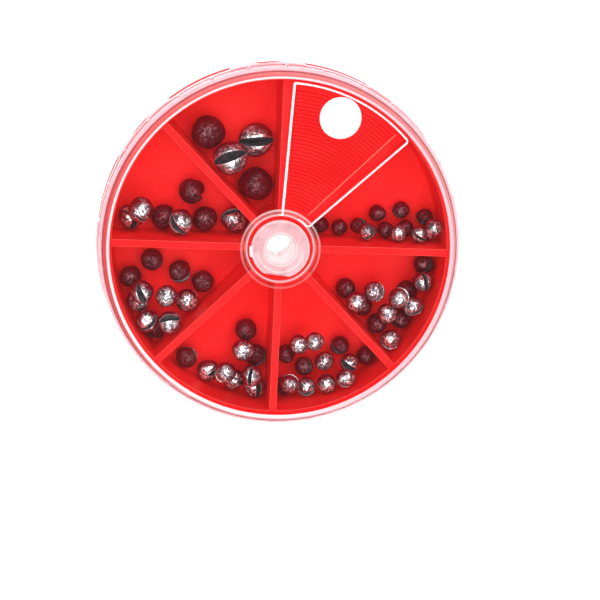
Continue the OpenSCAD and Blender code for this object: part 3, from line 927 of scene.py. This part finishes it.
def split_outline(dice):
    """Section of a ball of radius one: round outside, then down and up the two sides of its split."""
    half = math.radians(dice.uniform(10, 19))
    lip = dice.uniform(0.05, 0.12)
    root = dice.uniform(-0.2, 0.02)
    lean = dice.uniform(-0.12, 0.12)
    width = math.sin(half)
    height = math.cos(half)

    def side(way):
        return [(way * width * 0.985, height * 0.975), (way * width * 0.93, height * 0.9),
                (way * width * 0.5 + lean * 0.3, height * 0.5 + root * 0.4), (way * 0.05 + lean, root + 0.05)]

    turns = np.linspace(half + lip, math.tau - half - lip, ROUND_POINTS)
    outer = [(math.sin(a), math.cos(a)) for a in turns]
    return np.array(outer + side(-1) + [(lean, root - 0.02)] + side(1)[::-1])


def split_shot(name, lie, node, skin, shade, edge):
    """A dented ball of lead, split to past its middle; each section along the split is the same outline."""
    middle, radius, axis, mouth = lie
    dice = np.random.default_rng([ord(c) for c in name])
    outline = split_outline(dice)
    around = len(outline)
    along = -np.cos(np.linspace(0.05, math.pi - 0.05, LENGTH_ROWS))
    rows = [np.column_stack([np.full(around, x), outline * math.sqrt(1 - x * x)]) for x in along]
    local = dent(np.concatenate(rows), dice)
    side = np.cross(mouth, axis)
    points = middle + radius * (local[:, :1] * axis + local[:, 1:2] * side + local[:, 2:] * mouth)
    faces = row_faces(LENGTH_ROWS, around, False) + end_faces(LENGTH_ROWS, around)
    piece = lay_piece(name, points, faces, skin, "tray_body", node, sharp=50)
    piece.data.materials.append(shade)
    piece.data.materials.append(edge)
    first = ROUND_POINTS + 1
    last = around - 2
    for i in range(LENGTH_ROWS - 1):
        for j in range(first, last):
            piece.data.polygons[i * around + j].material_index = 1
        for j in (first - 2, first - 1, last, last + 1):
            piece.data.polygons[i * around + j].material_index = 2


def dent(points, dice):
    """Knocks dents and flats into a ball of radius one, never outward."""
    length = np.linalg.norm(points, axis=1)
    facing = points / np.maximum(length, 0.02)[:, None]
    push = np.zeros(len(points))
    for _ in range(DENTS):
        way = unit(dice.normal(size=3))
        width = dice.uniform(0.02, 0.14)
        push += dice.uniform(0.01, 0.085) * np.exp(-(1 - facing @ way) / width)
    for _ in range(RIPPLES):
        wave = dice.normal(size=3) * RIPPLE_TURNS
        push += RIPPLE_H * (1 + np.sin(facing @ wave + dice.uniform(0, 6)))
    keep = 1 - np.minimum(push, DENT_MOST) * np.clip(length, 0, 1)
    return points * keep[:, None]


# Shots whose middle is higher than this get painted light, and so do these ones lower down; the rest get
# painted shade
PAINTED_LIT_Z = 5.2
PAINTED_LIT_LOW = ("shot_a2", "shot_b1", "shot_b5", "shot_d2", "shot_d3", "shot_e10", "shot_e12")


def shots():
    """Every split shot, dented and split over its solid."""
    # Lit and shaded copies of one lead: painted light for shots high up, painted shade for those low down;
    # side colours are painted red reflection
    painted_lit = lead("lead rubbed", colour(138, 3, 38), colour(118, 102, 110), colour(242, 238, 240),
                  top_from=0.42, top_full=0.82, metal=0.8, rough=0.32)
    painted_shaded = lead("lead dull", colour(116, 4, 24), colour(84, 30, 38), colour(126, 88, 94),
                top_from=0.5, top_full=1.1, metal=0.5, rough=0.55)
    # Painted highlights along the lips of each lit shot's split
    edge = lead("lead split edge", colour(206, 196, 200), colour(206, 196, 200), colour(250, 248, 248),
                top_from=-0.4, top_full=0.6, metal=0.9, rough=0.4)
    shade = split_shade()
    for node in sorted(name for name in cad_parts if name.startswith("shot")):
        for k, part in enumerate(loose_parts(node)):
            name = f"lead_{node}" if node.startswith("shot_") else f"lead_{node}_{k + 1}"
            lie = shot_lie(*part)
            if node in PAINTED_LIT_LOW or lie[0][2] > PAINTED_LIT_Z:
                split_shot(name, lie, node, painted_lit, shade, edge)
            else:
                split_shot(name, lie, node, painted_shaded, shade, painted_shaded)


# The camera: where the hub stands in the photograph, how the box leans from it, and its distance
PHOTO_SIDE = 600
HUB_AT = (280.5, 249.3)
LEAN = Vector((0.078, -0.206, 0.9754)).normalized()
ROLL = math.radians(-2.638)
HUB_DISTANCE = 379.56
LENS = 120.0
SENSOR = 36.0


def camera():
    """A camera that sees the box as the photograph does."""
    pixels = LENS / SENSOR * PHOTO_SIDE
    level = (Vector((1, 0, 0)) - LEAN.x * LEAN).normalized()
    right = math.cos(ROLL) * level + math.sin(ROLL) * LEAN.cross(level)
    turned = Matrix((right, LEAN.cross(right), LEAN))
    across = (HUB_AT[0] - PHOTO_SIDE / 2) / pixels
    up = (PHOTO_SIDE / 2 - HUB_AT[1]) / pixels
    to_hub = Vector((across, up, -1)).normalized() * HUB_DISTANCE
    place = Vector((0, 0, LID_TOP)) - turned @ to_hub
    data = bpy.data.cameras.new("camera")
    data.lens = LENS
    data.sensor_width = SENSOR
    data.clip_end = 20
    eye = bpy.data.objects.new("camera", data)
    eye.matrix_world = Matrix.Translation(place * MM) @ turned.to_4x4()
    bpy.context.scene.collection.objects.link(eye)
    bpy.context.scene.camera = eye


def soft_light(name, place, size, power):
    """A round soft light at a place in metres, turned to the box."""
    data = bpy.data.lights.new(name, "AREA")
    data.shape = "DISK"
    data.size = size
    data.energy = power
    lamp = bpy.data.objects.new(name, data)
    lamp.location = place
    lamp.rotation_euler = Vector(place).to_track_quat("Z", "Y").to_euler()
    bpy.context.scene.collection.objects.link(lamp)


def studio():
    """A pale floor and soft light from above and around."""
    finish = Finish("floor pale", Roughness=0.9, Specular_IOR_Level=0.1, Emission_Strength=0.92)
    tone = finish.blend(finish.noise(0.004, detail=2.0), colour(250, 250, 250), colour(255, 255, 255))
    half = 3.0
    corners = [(-half, -half, 0), (half, -half, 0), (half, half, 0), (-half, half, 0)]
    mesh = bpy.data.meshes.new("floor")
    mesh.from_pydata(corners, [], [(0, 1, 2, 3)])
    mesh.materials.append(finish.feed(Base_Color=tone, Emission_Color=tone))
    floor = bpy.data.objects.new("floor", mesh)
    bpy.context.scene.collection.objects.link(floor)
    soft_light("key", (0.02, 0.02, 0.92), size=1.2, power=9.6)
    soft_light("glint", (-0.3, 0.42, 0.8), size=0.12, power=0.9)
    soft_light("fill", (0.3, 0.58, 0.6), size=0.4, power=1.5)
    soft_light("front", (-0.1, -0.7, 0.6), size=0.5, power=1.0)
    world = bpy.data.worlds.new("studio")
    world.use_nodes = True
    background = world.node_tree.nodes["Background"]
    background.inputs["Color"].default_value = (1, 0.99, 0.98, 1)
    background.inputs["Strength"].default_value = 0.28
    bpy.context.scene.world = world
    bpy.context.scene.view_settings.view_transform = "Standard"


camera()
studio()
tray()
lid()
window_ribs()
hub_pin()
shots()
